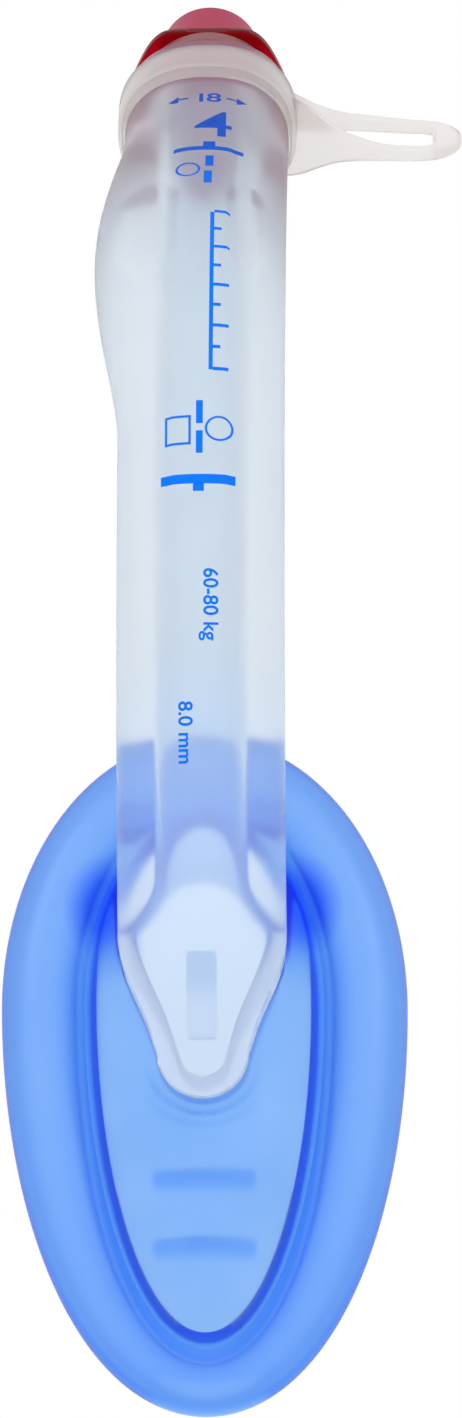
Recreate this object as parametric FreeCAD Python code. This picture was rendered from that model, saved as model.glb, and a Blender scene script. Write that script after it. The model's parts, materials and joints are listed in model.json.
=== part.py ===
"""Laryngeal mask airway, size 4: curved clear airway tube, blue cuffed mask, tethered red connector.

Everything is drawn in the mask's own frame: the cuff ring lies in the plane Z = 0, its tip towards -Y, its
heel towards +Y, the back of the mask towards +Z. The tube is a circular arc in the plane X = 0 that ends in a
straight length. The finished pieces are then pitched and lifted together, so that the cuff's tip and the rim
of the connector stand on the plane Z = 0 of the finished part.
"""
import FreeCAD, Part
import math
import os

from FreeCAD import Vector as V

# Mask, in mm
MASK_HALF_WIDTH = 29.7
TIP_REACH = 60.0
HEEL_REACH = 40.5
TIP_RING_WIDTH = 10.4
SIDE_RING_WIDTH = 13.0
HEEL_RING_WIDTH = 12.0
TIP_RING_HEIGHT = 10.6
SIDE_RING_HEIGHT = 14.6
HEEL_RING_HEIGHT = 12.6
CUFF_WALL = 1.4
TIP_WALL = 2.0
SEAT_EXTRA = 0.7
CUFF_STATIONS = 40
TIP_FLAT_DEPTH = 0.8

# Bowl plate behind the ring
PLATE_WALL = 2.0
PLATE_EDGE_HEIGHT = 2.0
PLATE_RISE = 12.0
PLATE_LAP = 1.0
PLATE_RIM_WIDTH = 2.3
PLATE_RIM_DEPTH = 1.4
RIDGE_HEIGHT = 1.4
RIDGE_WIDTH = 3.4
RIDGE_LENGTH = 15.0
RIDGE_PLACES = (-28.7, -38.6)

# Airway tube
TUBE_WIDTH = 24.6
TUBE_THICKNESS = 21.0
BORE_DIAMETER = 12.6
BEND_RADIUS = 132.0
OUTLET_BEND_RADIUS = 58.0
OUTLET_LENGTH = 44.4
MOUTH_ANGLE = 56.0
STRAIGHT_LENGTH = 28.0
CROWN_PLACE = 25.0
CROWN_HEIGHT = 18.0

# Keyhole outlet at the mask end of the tube
OUTLET_TIP_RADIUS = 6.6
OUTLET_TAPER_NEAR = 16.7
OUTLET_TAPER_FAR = 35.0
OUTLET_WALL = 2.0
OUTLET_RIM = 3.1
SKIRT_FLOOR = 5.0

# Bite-block lobe on the left side
LOBE_RADIUS = 7.2
LOBE_END_RADIUS = 4.6
LOBE_REACH = 3.8
LOBE_START = 62.0
LOBE_END = 134.0
LOBE_STATIONS = 7

# Grooves beside the raised midline of the tube
GROOVE_RADIUS = 3.4
GROOVE_OFFSET = 6.4
GROOVE_DEPTH = 1.1
GROOVE_START = 84.0
GROOVE_LENGTH = 17.0

# Ramp blade in the outlet
RAMP_WIDTH = 4.4
RAMP_LENGTH = 11.5
RAMP_THICKNESS = 1.6
RAMP_PLACE = 18.0

# Connector
CONE_DIAMETER = 15.0
CONE_TAPER = 1.0 / 40.0
CONE_LENGTH = 16.5
CONNECTOR_BORE = 10.0
FLANGE_DIAMETER = 24.4
FLANGE_FLATS = 20.8
FLANGE_THICKNESS = 2.4
STEM_LENGTH = 27.0
STEM_CLEARANCE = 0.05
COLLAR_DIAMETER = 15.0
SEAT_GAP = 0.3

# Tether
STRAP_THICKNESS = 1.8
BAND_LENGTH = 9.0
BAND_WALL = 1.2
BAND_SETBACK = 4.0
NECK_RING_LENGTH = 3.0
NECK_RING_WALL = 3.2
TETHER_CLEARANCE = 0.1
STRAP_REACH = 38.4
STRAP_ROOT_TOP = 4.2
STRAP_ROOT_BOTTOM = -8.5
STRAP_TOP = -2.9
STRAP_BOTTOM = -6.0
STRAND_HEIGHT = 2.1
STRAP_TAPER_REACH = 22.0

# Worked out from the sizes above
CROWN = V(0, CROWN_PLACE, CROWN_HEIGHT)
MOUTH = math.radians(MOUTH_ANGLE)
ARC_LENGTH = BEND_RADIUS * MOUTH
TUBE_END = ARC_LENGTH + STRAIGHT_LENGTH
FLANGE_FACE = TUBE_END + SEAT_GAP + NECK_RING_LENGTH + TETHER_CLEARANCE
CONE_FOOT = FLANGE_FACE + FLANGE_THICKNESS
RIM = CONE_FOOT + CONE_LENGTH


def along(s):
    """Centre, tangent and back direction of the tube at the distance s from the crown of its bend.

    Below zero the tube curves down into the bowl, on the tighter radius of the outlet.
    """
    radius = OUTLET_BEND_RADIUS if s < 0 else BEND_RADIUS
    angle = min(s / radius, MOUTH)
    straight = max(s - ARC_LENGTH, 0.0)
    tangent = V(0, math.cos(angle), -math.sin(angle))
    back = V(0, math.sin(angle), math.cos(angle))
    centre = CROWN + back * radius - V(0, 0, radius) + tangent * straight
    return centre, tangent, back


def frame_at(s, x=0.0, b=0.0):
    """Placement at the distance s: local X is the part's X, local Y its back direction, local -Z the tangent."""
    centre, tangent, back = along(s)
    origin = centre + V(x, 0, 0) + back * b
    matrix = FreeCAD.Matrix(
        1, 0, 0, origin.x,
        0, back.y, -tangent.y, origin.y,
        0, back.z, -tangent.z, origin.z,
        0, 0, 0, 1,
    )
    return FreeCAD.Placement(matrix)


def oval(half_x, half_y):
    """Closed wire of an ellipse about the origin in the XY plane, of any proportion."""
    if abs(half_x - half_y) < 1e-6:
        return Part.Wire([Part.Circle(V(), V(0, 0, 1), half_x).toShape()])
    edge = Part.Ellipse(V(), max(half_x, half_y), min(half_x, half_y)).toShape()
    if half_y > half_x:
        edge.rotate(V(), V(0, 0, 1), 90)
    return Part.Wire([edge])


def swept(half_x, half_y, start, end, b=0.0):
    """Solid of an oval section, b off the tube's path, carried along it from start to end."""
    pieces = []
    for low, high, radius in ((start, 0.0, OUTLET_BEND_RADIUS), (0.0, ARC_LENGTH, BEND_RADIUS)):
        first = max(low, start)
        last = min(high, end)
        if first < last:
            face = Part.Face(oval(half_x, half_y))
            face.Placement = frame_at(first, 0.0, b)
            turn = math.degrees((last - first) / radius)
            pieces.append(face.revolve(CROWN - V(0, 0, radius), V(-1, 0, 0), turn))
    if end > ARC_LENGTH:
        first = max(start, ARC_LENGTH)
        face = Part.Face(oval(half_x, half_y))
        face.Placement = frame_at(first, 0.0, b)
        pieces.append(face.extrude(along(first)[1] * (end - first)))
    return pieces[0] if len(pieces) == 1 else pieces[0].fuse(pieces[1:]).removeSplitter()


def turned(radius_start, radius_end, start, end):
    """Cone or cylinder on the straight end of the tube's axis, from start to end."""
    origin, tangent, _ = along(start)
    if abs(radius_start - radius_end) < 1e-9:
        return Part.makeCylinder(radius_start, end - start, origin, tangent)
    return Part.makeCone(radius_start, radius_end, end - start, origin, tangent)


def ring_station(u, hollow):
    """Wire of the cuff's section at the angle u round the ring, or of the hollow inside it.

    The wall thickens towards the tip, and on the bowl's side, where the plate is glued in.
    """
    end_width, end_height, reach, end_wall = (
        (TIP_RING_WIDTH, TIP_RING_HEIGHT, TIP_REACH, TIP_WALL) if math.sin(u) < 0
        else (HEEL_RING_WIDTH, HEEL_RING_HEIGHT, HEEL_REACH, CUFF_WALL)
    )
    share = math.sin(u) ** 2
    width = SIDE_RING_WIDTH + (end_width - SIDE_RING_WIDTH) * share
    height = SIDE_RING_HEIGHT + (end_height - SIDE_RING_HEIGHT) * share
    half_width = MASK_HALF_WIDTH - width / 2
    half_reach = reach - width / 2
    wall = CUFF_WALL + (end_wall - CUFF_WALL) * share if hollow else 0.0
    seat = SEAT_EXTRA / 2 if hollow else 0.0
    outward = V(half_reach * math.cos(u), half_width * math.sin(u), 0).normalize()
    centre = V(half_width * math.cos(u), half_reach * math.sin(u), 0) + outward * seat
    wire = oval(width / 2 - wall - seat, height / 2 - wall)
    forward = outward.cross(V(0, 0, 1))
    matrix = FreeCAD.Matrix(
        outward.x, 0, forward.x, centre.x,
        outward.y, 0, forward.y, centre.y,
        outward.z, 1, forward.z, centre.z,
        0, 0, 0, 1,
    )
    wire.Placement = FreeCAD.Placement(matrix)
    return wire


def ring(hollow):
    """Solid ring of the cuff, or of its hollow, lofted round the egg-shaped plan as two mirrored halves."""
    steps = CUFF_STATIONS // 2
    angles = [-math.pi / 2 + math.pi * i / steps for i in range(steps + 1)]
    half = Part.makeLoft([ring_station(u, hollow) for u in angles], True, False)
    return half.fuse(half.mirror(V(), V(1, 0, 0)))


def egg(grow, z):
    """Closed wire of the plate's plan at the height z: two half ellipses, grown outwards by grow."""
    across = MASK_HALF_WIDTH - SIDE_RING_WIDTH + grow
    tip = TIP_REACH - TIP_RING_WIDTH + grow
    heel = HEEL_REACH - HEEL_RING_WIDTH + grow
    edges = []
    for reach, first in ((heel, 0.0), (tip, math.pi)):
        if reach > across:
            curve = Part.Ellipse(V(0, reach, z), V(-across, 0, z), V(0, 0, z))
            shift = -math.pi / 2
        else:
            curve = Part.Ellipse(V(across, 0, z), V(0, reach, z), V(0, 0, z))
            shift = 0.0
        edges.append(Part.ArcOfEllipse(curve, first + shift, first + shift + math.pi).toShape())
    return Part.Wire(edges)


def dish(drop):
    """Solid dome inside the ring, lowered by drop. Its edge laps into the ring's inner wall."""
    steps = 5
    wires = []
    for i in range(steps):
        turn = math.pi / 2 * i / steps
        inward = (MASK_HALF_WIDTH - SIDE_RING_WIDTH + PLATE_LAP) * (1 - math.cos(turn))
        wires.append(egg(PLATE_LAP - inward, PLATE_EDGE_HEIGHT + PLATE_RISE * math.sin(turn) - drop))
    return Part.makeLoft(wires, True, False)


def outlet_plan(inset):
    """Tall prism on the keyhole outline of the outlet: straight sides that taper to a round tip."""
    side = TUBE_WIDTH / 2 - inset
    tip = OUTLET_TIP_RADIUS - inset
    tip_place = along(-OUTLET_LENGTH)[0].y + OUTLET_TIP_RADIUS
    corners = [
        V(tip, tip_place, 0), V(tip, along(-OUTLET_TAPER_FAR)[0].y, 0),
        V(side, along(-OUTLET_TAPER_NEAR)[0].y, 0), V(side, 2 * TUBE_END, 0),
    ]
    mirrored = [V(-p.x, p.y, 0) for p in reversed(corners)]
    points = corners + mirrored
    edges = [Part.LineSegment(a, b).toShape() for a, b in zip(points, points[1:])]
    edges.append(Part.Arc(mirrored[-1], V(0, tip_place - tip, 0), corners[0]).toShape())
    face = Part.Face(Part.Wire(edges))
    face.translate(V(0, 0, -TUBE_END))
    return face.extrude(V(0, 0, 2 * TUBE_END))


def tube_envelope():
    """Outer form of the airway tube with its lobe, before any bore or groove."""
    body = swept(TUBE_WIDTH / 2, TUBE_THICKNESS / 2, -OUTLET_LENGTH - TUBE_THICKNESS, TUBE_END)
    body = body.common(outlet_plan(0.0))
    below = Part.makeBox(2 * TUBE_WIDTH, TUBE_END, TUBE_END)
    below.translate(V(-TUBE_WIDTH, CROWN_PLACE - TUBE_END, SKIRT_FLOOR - TUBE_END))
    body = body.cut(below)
    wires = []
    for i in range(LOBE_STATIONS):
        share = i / (LOBE_STATIONS - 1)
        swell = math.sin(math.pi * share) ** 2
        radius = LOBE_END_RADIUS + (LOBE_RADIUS - LOBE_END_RADIUS) * swell
        reach = TUBE_WIDTH / 2 - LOBE_REACH / 2 + 1.5 * LOBE_REACH * swell
        wire = oval(radius, radius)
        wire.Placement = frame_at(LOBE_START + (LOBE_END - LOBE_START) * share, radius - reach)
        wires.append(wire)
    return body.fuse(Part.makeLoft(wires, True, False))


def groove(side):
    """Round-bottomed groove along the tube's back, beside the midline."""
    angle = math.degrees(GROOVE_LENGTH / BEND_RADIUS)
    slope = math.sqrt(max(0.0, 1 - (GROOVE_OFFSET / (TUBE_WIDTH / 2)) ** 2))
    top = TUBE_THICKNESS / 2 * slope
    height = top - GROOVE_DEPTH + GROOVE_RADIUS
    face = Part.Face(oval(GROOVE_RADIUS, GROOVE_RADIUS))
    face.Placement = frame_at(GROOVE_START, side * GROOVE_OFFSET, height)
    cut = face.revolve(CROWN - V(0, 0, BEND_RADIUS), V(-1, 0, 0), angle)
    for place in (GROOVE_START, GROOVE_START + GROOVE_LENGTH):
        centre, _, back = along(place)
        cut = cut.fuse(Part.makeSphere(GROOVE_RADIUS, centre + V(side * GROOVE_OFFSET, 0, 0) + back * height))
    return cut


def make_airway_tube(envelope):
    """Clear moulding: oval outside, round bore, keyhole outlet that opens towards the bowl."""
    far = -OUTLET_LENGTH - TUBE_THICKNESS
    bore = swept(BORE_DIAMETER / 2, BORE_DIAMETER / 2, -OUTLET_TAPER_NEAR - 1, TUBE_END + 1)
    hollow = swept(TUBE_WIDTH / 2, TUBE_THICKNESS / 2 - OUTLET_WALL, far, -OUTLET_TAPER_NEAR)
    window = swept(TUBE_WIDTH, TUBE_THICKNESS, far, -OUTLET_TAPER_NEAR, -TUBE_THICKNESS)
    hollow = hollow.fuse(window).common(outlet_plan(OUTLET_RIM))
    tube = envelope.cut(bore).cut(hollow)
    for side in (-1, 1):
        tube = tube.cut(groove(side))
    return tube


def make_ramp(tube):
    """Small flat blade that hangs in the outlet below its clear roof, clear of the tube's material."""
    _, tangent, back = along(-RAMP_PLACE)
    blade = Part.makeBox(RAMP_WIDTH, RAMP_LENGTH, RAMP_THICKNESS)
    blade.translate(V(-RAMP_WIDTH / 2, -RAMP_LENGTH, 0))
    frame = frame_at(-RAMP_PLACE)
    matrix = FreeCAD.Matrix(
        1, 0, 0, frame.Base.x,
        0, tangent.y, back.y, frame.Base.y,
        0, tangent.z, back.z, frame.Base.z,
        0, 0, 0, 1,
    )
    roof = TUBE_THICKNESS / 2 - OUTLET_WALL - RAMP_THICKNESS
    blade.translate(V(0, 0, roof))
    blade.Placement = FreeCAD.Placement(matrix).multiply(blade.Placement)
    roof_solid = swept(TUBE_WIDTH / 2, TUBE_THICKNESS / 2 - OUTLET_WALL, -OUTLET_LENGTH, 0.0)
    return blade.common(roof_solid).cut(tube)


def make_bowl_plate(cuff_form, envelope):
    """Blue dished plate glued inside the ring, open where the tube's outlet fills it, ridged underneath.

    Its edge is a deeper rim that stands against the ring's inner wall.
    """
    shell = dish(0.0).cut(dish(PLATE_WALL))
    foot = PLATE_EDGE_HEIGHT - PLATE_RIM_DEPTH
    rim = Part.Face(egg(PLATE_LAP, foot)).extrude(V(0, 0, PLATE_RISE))
    rim = rim.cut(Part.Face(egg(PLATE_LAP - PLATE_RIM_WIDTH, foot)).extrude(V(0, 0, PLATE_RISE)))
    below = Part.Face(egg(PLATE_LAP, foot)).extrude(V(0, 0, PLATE_RIM_DEPTH))
    shell = shell.fuse(rim.common(dish(0.0).fuse(below)))
    under = dish(PLATE_WALL).cut(dish(PLATE_WALL + RIDGE_HEIGHT))
    for place in RIDGE_PLACES:
        bar = Part.makeBox(RIDGE_LENGTH, RIDGE_WIDTH, 2 * PLATE_RISE, V(-RIDGE_LENGTH / 2, place, 0))
        shell = shell.fuse(bar.common(under))
    return shell.cut(cuff_form).cut(envelope)


def make_connector():
    """Red 15 mm connector: male cone, flange with two flats, neck collar and long stem, bored right through."""
    root = CONE_DIAMETER / 2 + CONE_LENGTH * CONE_TAPER / 2
    cone = turned(root, CONE_DIAMETER / 2, CONE_FOOT, RIM)
    flange = turned(FLANGE_DIAMETER / 2, FLANGE_DIAMETER / 2, FLANGE_FACE, CONE_FOOT)
    flats = Part.makeBox(2 * FLANGE_DIAMETER, FLANGE_FLATS, FLANGE_THICKNESS)
    flats.translate(V(-FLANGE_DIAMETER, -FLANGE_FLATS / 2, -FLANGE_THICKNESS))
    flats.Placement = frame_at(FLANGE_FACE).multiply(flats.Placement)
    neck = turned(COLLAR_DIAMETER / 2, COLLAR_DIAMETER / 2, TUBE_END + SEAT_GAP, FLANGE_FACE)
    stem_radius = BORE_DIAMETER / 2 - STEM_CLEARANCE
    stem_start = TUBE_END + SEAT_GAP - STEM_LENGTH
    stem = turned(stem_radius, stem_radius, stem_start, FLANGE_FACE)
    body = cone.fuse([flange.common(flats), neck, stem]).removeSplitter()
    bore = turned(CONNECTOR_BORE / 2, CONNECTOR_BORE / 2, stem_start - 0.5, RIM + 1)
    return body.cut(bore)


def strap_plan(points):
    """Tall prism, along the tube's end axis, on an outline given as (x, height) pairs."""
    wire = Part.makePolygon([V(x, b, 0) for x, b in points + points[:1]])
    prism = Part.Face(wire).extrude(V(0, 0, 2 * STRAP_REACH))
    prism.translate(V(0, 0, -STRAP_REACH))
    prism.Placement = frame_at(TUBE_END).multiply(prism.Placement)
    return prism


def strap_slab(start, end, reach):
    """Flat slab across the tube's end axis, from the axis out to reach."""
    slab = Part.makeBox(reach, 2 * STRAP_REACH, end - start, V(0, -STRAP_REACH, -(end - start)))
    slab.Placement = frame_at(start).multiply(slab.Placement)
    return slab


def make_tether():
    """Milky strap in one moulding: band on the tube, ring on the connector's neck, folded strap between."""
    band_end = TUBE_END - BAND_SETBACK
    band_start = band_end - BAND_LENGTH
    outer = swept(TUBE_WIDTH / 2 + BAND_WALL, TUBE_THICKNESS / 2 + BAND_WALL, band_start, band_end)
    inner = swept(TUBE_WIDTH / 2, TUBE_THICKNESS / 2, band_start - 1, band_end + 1)
    neck_hole = COLLAR_DIAMETER / 2 + TETHER_CLEARANCE
    neck_start = TUBE_END + SEAT_GAP
    neck_end = neck_start + NECK_RING_LENGTH
    neck_outer = turned(neck_hole + NECK_RING_WALL, neck_hole + NECK_RING_WALL, neck_start, neck_end)
    neck_inner = turned(neck_hole, neck_hole, neck_start - 1, neck_end + 1)

    near = (band_start + band_end) / 2
    far = (neck_start + neck_end) / 2
    fold = (far - near) / 2 + STRAP_THICKNESS / 2
    bend_place = STRAP_REACH - fold
    lower_strand = [
        (0, STRAP_ROOT_BOTTOM + 2), (TUBE_WIDTH / 2, STRAP_ROOT_BOTTOM),
        (STRAP_TAPER_REACH, STRAP_BOTTOM), (STRAP_REACH, STRAP_BOTTOM),
        (STRAP_REACH, STRAP_BOTTOM + STRAND_HEIGHT), (STRAP_TAPER_REACH + 5, STRAP_BOTTOM + STRAND_HEIGHT),
        (TUBE_WIDTH / 2, STRAP_ROOT_TOP), (0, STRAP_ROOT_TOP),
    ]
    upper_strand = [
        (0, -STRAND_HEIGHT), (STRAP_TAPER_REACH, STRAP_TOP - STRAND_HEIGHT),
        (STRAP_REACH, STRAP_TOP - STRAND_HEIGHT - 1), (STRAP_REACH, STRAP_TOP - 1),
        (STRAP_TAPER_REACH, STRAP_TOP + 0.5), (0, STRAP_ROOT_TOP),
    ]
    end_plan = [
        (bend_place - 3, STRAP_BOTTOM), (STRAP_REACH, STRAP_BOTTOM),
        (STRAP_REACH, STRAP_TOP - 1), (bend_place - 3, STRAP_TOP - 1),
    ]
    near_slab = strap_slab(near - STRAP_THICKNESS / 2, near + STRAP_THICKNESS / 2, bend_place)
    far_slab = strap_slab(far - STRAP_THICKNESS / 2, far + STRAP_THICKNESS / 2, bend_place)
    middle, _, back = along((near + far) / 2)
    low = middle + V(bend_place, 0, 0) - back * STRAP_REACH
    bend = Part.makeCylinder(fold, 2 * STRAP_REACH, low, back)
    bend = bend.cut(Part.makeCylinder(fold - STRAP_THICKNESS, 2 * STRAP_REACH, low, back))
    bend = bend.common(strap_slab(near - STRAP_THICKNESS, far + STRAP_THICKNESS, STRAP_REACH + 1).cut(
        strap_slab(near - STRAP_THICKNESS, far + STRAP_THICKNESS, bend_place)))
    strap = near_slab.common(strap_plan(lower_strand))
    end_straps = near_slab.fuse(far_slab).common(strap_plan(end_plan))
    strap = strap.fuse([far_slab.common(strap_plan(upper_strand)), end_straps, bend.common(strap_plan(end_plan))])
    tether = outer.fuse([neck_outer, strap])
    return tether.cut(inner).cut(neck_inner)


def rest_pitch():
    """Pitch, in radians, that brings the cuff's tip and the connector's rim down to one plane."""
    centre, _, _ = along(RIM)
    tip_centre = -(TIP_REACH - TIP_RING_WIDTH / 2)
    low, high = 0.0, math.pi / 3
    for _ in range(60):
        pitch = (low + high) / 2
        tip = tip_centre * math.sin(pitch) + TIP_FLAT_DEPTH - math.hypot(
            TIP_RING_WIDTH / 2 * math.sin(pitch), TIP_RING_HEIGHT / 2 * math.cos(pitch))
        rim = (centre.y * math.sin(pitch) + centre.z * math.cos(pitch)
               - CONE_DIAMETER / 2 * math.cos(MOUTH - pitch))
        low, high = (pitch, high) if rim < tip else (low, pitch)
    return pitch, -tip


def main():
    os.makedirs("parts", exist_ok=True)
    envelope = tube_envelope()
    cuff_form = ring(False)
    tube = make_airway_tube(envelope)
    nodes = {
        "airway_tube": tube,
        "mask_cuff": cuff_form.cut(ring(True)).cut(envelope),
        "bowl_plate": make_bowl_plate(cuff_form, envelope),
        "ramp_tongue": make_ramp(tube),
        "connector": make_connector(),
        "tether": make_tether(),
    }
    pitch, lift = rest_pitch()
    turn = FreeCAD.Placement(V(0, 0, lift), FreeCAD.Rotation(V(1, 0, 0), math.degrees(pitch)))
    placed = {}
    for name, shape in nodes.items():
        placed[name] = shape.copy()
        placed[name].Placement = turn.multiply(shape.Placement)
    below_floor = Part.makeBox(4 * MASK_HALF_WIDTH, 2 * TIP_REACH, TIP_REACH)
    below_floor.translate(V(-2 * MASK_HALF_WIDTH, -2 * TIP_REACH, -TIP_REACH))
    placed["mask_cuff"] = placed["mask_cuff"].cut(below_floor)

    # The origin is the middle of the finished part's footprint
    corners = [shape.optimalBoundingBox(False) for shape in placed.values()]
    middle_x = (min(c.XMin for c in corners) + max(c.XMax for c in corners)) / 2
    middle_y = (min(c.YMin for c in corners) + max(c.YMax for c in corners)) / 2
    for name, shape in placed.items():
        shape.translate(V(-middle_x, -middle_y, 0))
        shape.exportStep("parts/%s.step" % name)
        print(name, shape.isValid(), len(shape.Solids), round(shape.Volume, 1))
    rim_centre, rim_axis, _ = along(RIM)
    print("pitch", math.degrees(pitch), "rim", turn.multVec(rim_centre) - V(middle_x, middle_y, 0))


main()
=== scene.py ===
"""Looks of a laryngeal mask airway, laid out as an add-on around the fixed frame of the solid model."""

import json
import math

import bmesh
import bpy
import numpy as np
from bpy.props import FloatProperty, PointerProperty, StringProperty
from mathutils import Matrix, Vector


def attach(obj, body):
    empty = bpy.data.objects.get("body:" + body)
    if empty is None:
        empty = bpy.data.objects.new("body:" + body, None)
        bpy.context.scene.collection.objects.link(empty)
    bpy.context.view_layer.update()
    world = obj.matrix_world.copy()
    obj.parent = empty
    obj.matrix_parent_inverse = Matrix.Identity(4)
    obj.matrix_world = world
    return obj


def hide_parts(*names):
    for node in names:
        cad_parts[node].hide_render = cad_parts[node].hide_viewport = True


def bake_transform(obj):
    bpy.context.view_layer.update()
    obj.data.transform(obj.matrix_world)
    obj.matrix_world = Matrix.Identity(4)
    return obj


bl_info = {
    "name": "Laryngeal mask airway",
    "version": (1, 0, 0),
    "blender": (4, 5, 0),
    "location": "View3D > Sidebar > Airway",
    "description": "Builds the moulded silicone and plastic pieces of a laryngeal mask airway",
    "category": "Object",
}

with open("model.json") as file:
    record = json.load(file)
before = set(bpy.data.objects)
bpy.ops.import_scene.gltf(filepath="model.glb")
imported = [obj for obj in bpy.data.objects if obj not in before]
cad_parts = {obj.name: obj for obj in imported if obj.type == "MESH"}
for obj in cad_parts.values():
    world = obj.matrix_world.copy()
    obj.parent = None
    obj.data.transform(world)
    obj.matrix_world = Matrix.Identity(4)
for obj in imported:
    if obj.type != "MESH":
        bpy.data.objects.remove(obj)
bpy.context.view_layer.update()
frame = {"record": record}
MM = 0.001
MOUNTS = {m["name"]: m for m in frame["record"]["mounts"]}
RIM_CENTRE = np.array(MOUNTS["connector_cone"]["pos_m"])
MOUTH_AXIS = np.array(MOUNTS["connector_cone"]["axis"])
# Gap between the tube's end and the connector's collar, and the length of the tether's neck ring on it
SEAT_GAP = 0.3 * MM
NECK_RING_LENGTH = 3.0 * MM
# Clearance between neighbours that are pushed or glued together
CLOSE_FIT = 0.1 * MM
# Exponent of the tube's oval: 2 is an ellipse, more is squarer
ROUNDNESS = 2.3
# Centre of the painted shade beside the tube where it meets the bowl, in millimetres: across from the midline,
# along and up
PAINTED_SHADE_PLACE = (12.6, 52.5, 33.5)
# Where the cross ridges under the plate start, in millimetres from the mask's widest line
RIDGE_PLACES = (-28.7, -38.6)
# Half the height of the tall cutting prisms and slabs
TALL = 0.3


def length(default_mm, words):
    """Float property in metres whose default is given in millimetres."""
    return FloatProperty(description=words, default=default_mm * MM, unit="LENGTH", precision=5)


def colour(default_hex, words):
    """String property that holds an sRGB hex colour."""
    return StringProperty(description=words, default=default_hex)


class TubeSizes(bpy.types.PropertyGroup):
    """Sizes of the airway tube and of its path."""
    width: length(24.6, "Width of the tube across its back")
    thickness: length(21.0, "Thickness of the tube from front to back")
    bore: length(12.6, "Diameter of the round bore")
    bend_radius: length(132.0, "Radius of the main bend")
    outlet_radius: length(58.0, "Radius of the bend down into the bowl")
    outlet_length: length(44.4, "Length of the tube below the crown of its bend")
    mouth_angle: FloatProperty(description="Turn of the main bend", default=math.radians(56.0), subtype="ANGLE")
    straight: length(28.0, "Straight length at the connector's end")
    crown_place: length(25.0, "Place of the crown, from the mask's widest line")
    crown_height: length(18.0, "Height of the crown above the cuff's middle plane")
    taper_near: length(16.7, "Where the outlet starts to narrow")
    taper_far: length(35.0, "Where the outlet reaches its narrow width")
    tip_radius: length(6.6, "Radius of the outlet's round tip")
    outlet_wall: length(2.0, "Wall of the keyhole outlet")
    outlet_rim: length(3.1, "Width of the clear rim round the keyhole outlet")
    skirt_floor: length(5.0, "Height of the outlet's lower edge")
    lobe_reach: length(3.8, "How far the bite-block lobe stands out")
    lobe_start: length(62.0, "Where the lobe starts")
    lobe_end: length(134.0, "Where the lobe ends")
    groove_depth: length(1.1, "Depth of the two grooves beside the midline")
    ramp_width: length(4.4, "Width of the ramp blade in the outlet")
    ramp_length: length(11.5, "Length of the ramp blade")
    ramp_thickness: length(1.6, "Thickness of the ramp blade")
    ramp_place: length(18.0, "From the crown down to the ramp blade")


class MaskSizes(bpy.types.PropertyGroup):
    """Sizes of the cuff ring and of the plate inside it."""
    half_width: length(29.7, "Half the width of the mask")
    tip_reach: length(60.0, "From the widest line to the tip")
    heel_reach: length(40.5, "From the widest line to the heel")
    side_width: length(13.0, "Width of the ring's section at its sides")
    tip_width: length(10.4, "Width of the ring's section at its tip")
    heel_width: length(12.0, "Width of the ring's section at its heel")
    side_height: length(14.6, "Height of the ring's section at its sides")
    tip_height: length(10.6, "Height of the ring's section at its tip")
    heel_height: length(12.6, "Height of the ring's section at its heel")
    wall: length(1.4, "Wall of the hollow cuff")
    tip_wall: length(2.0, "Wall of the hollow cuff at its tip")
    seat_extra: length(0.7, "How much thicker the wall is where the plate is glued in")
    plate_lap: length(1.0, "How far the plate runs in to the ring")
    plate_wall: length(2.0, "Wall of the bowl plate")
    plate_edge: length(2.0, "Height of the plate's edge above the cuff's middle plane")
    plate_rise: length(12.0, "Rise of the plate's dome")
    rim_width: length(2.3, "Width of the plate's deep rim")
    rim_depth: length(1.4, "Depth of the plate's rim below its edge")
    ridge_height: length(1.4, "How far the cross ridges stand down under the plate")


class ConnectorSizes(bpy.types.PropertyGroup):
    """Sizes of the connector and of the tether on it."""
    cone_end: length(15.0, "Diameter of the male cone at its end")
    cone_length: length(16.5, "Length of the male cone")
    bore: length(10.0, "Diameter of the bore")
    flange: length(24.4, "Diameter of the flange")
    flats: length(20.8, "Distance across the flange's flats")
    slants: length(23.8, "Distance across the flange's slanting flats")
    flange_thickness: length(2.4, "Thickness of the flange")
    stem: length(27.0, "Length of the stem inside the tube")
    neck: length(15.0, "Diameter of the neck inside the tether's ring")
    band_length: length(9.0, "Length of the tether's band along the tube")
    band_setback: length(4.0, "From the band to the tube's end")
    band_wall: length(1.2, "Wall of the tether's band")
    strap_reach: length(38.4, "Reach of the folded strap from the tube's axis")
    strap_thickness: length(1.8, "Thickness of the strap")


class Finish(bpy.types.PropertyGroup):
    """Colours of the materials."""
    clear: colour("#DDE6EE", "Tint of the clear silicone tube")
    blue: colour("#CEE3FF", "Tint of the blue silicone mask")
    red: colour("#AC0014", "Tint of the connector's flange")
    milk: colour("#EFEBE9", "Tint of the tether")
    ink: colour("#0466E0", "Colour of the printed marks")


def sizes(group):
    """The scene's property group of that name."""
    return getattr(bpy.context.scene, "airway_" + group)


def tube_lengths():
    """Lengths along the tube's path: end of the arc, end of the tube, flange's near face, cone's foot and rim."""
    t = sizes("tube")
    c = sizes("connector")
    arc = t.bend_radius * t.mouth_angle
    end = arc + t.straight
    flange = end + SEAT_GAP + NECK_RING_LENGTH + CLOSE_FIT
    foot = flange + c.flange_thickness
    return {"arc": arc, "end": end, "flange": flange, "foot": foot, "rim": foot + c.cone_length}


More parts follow.
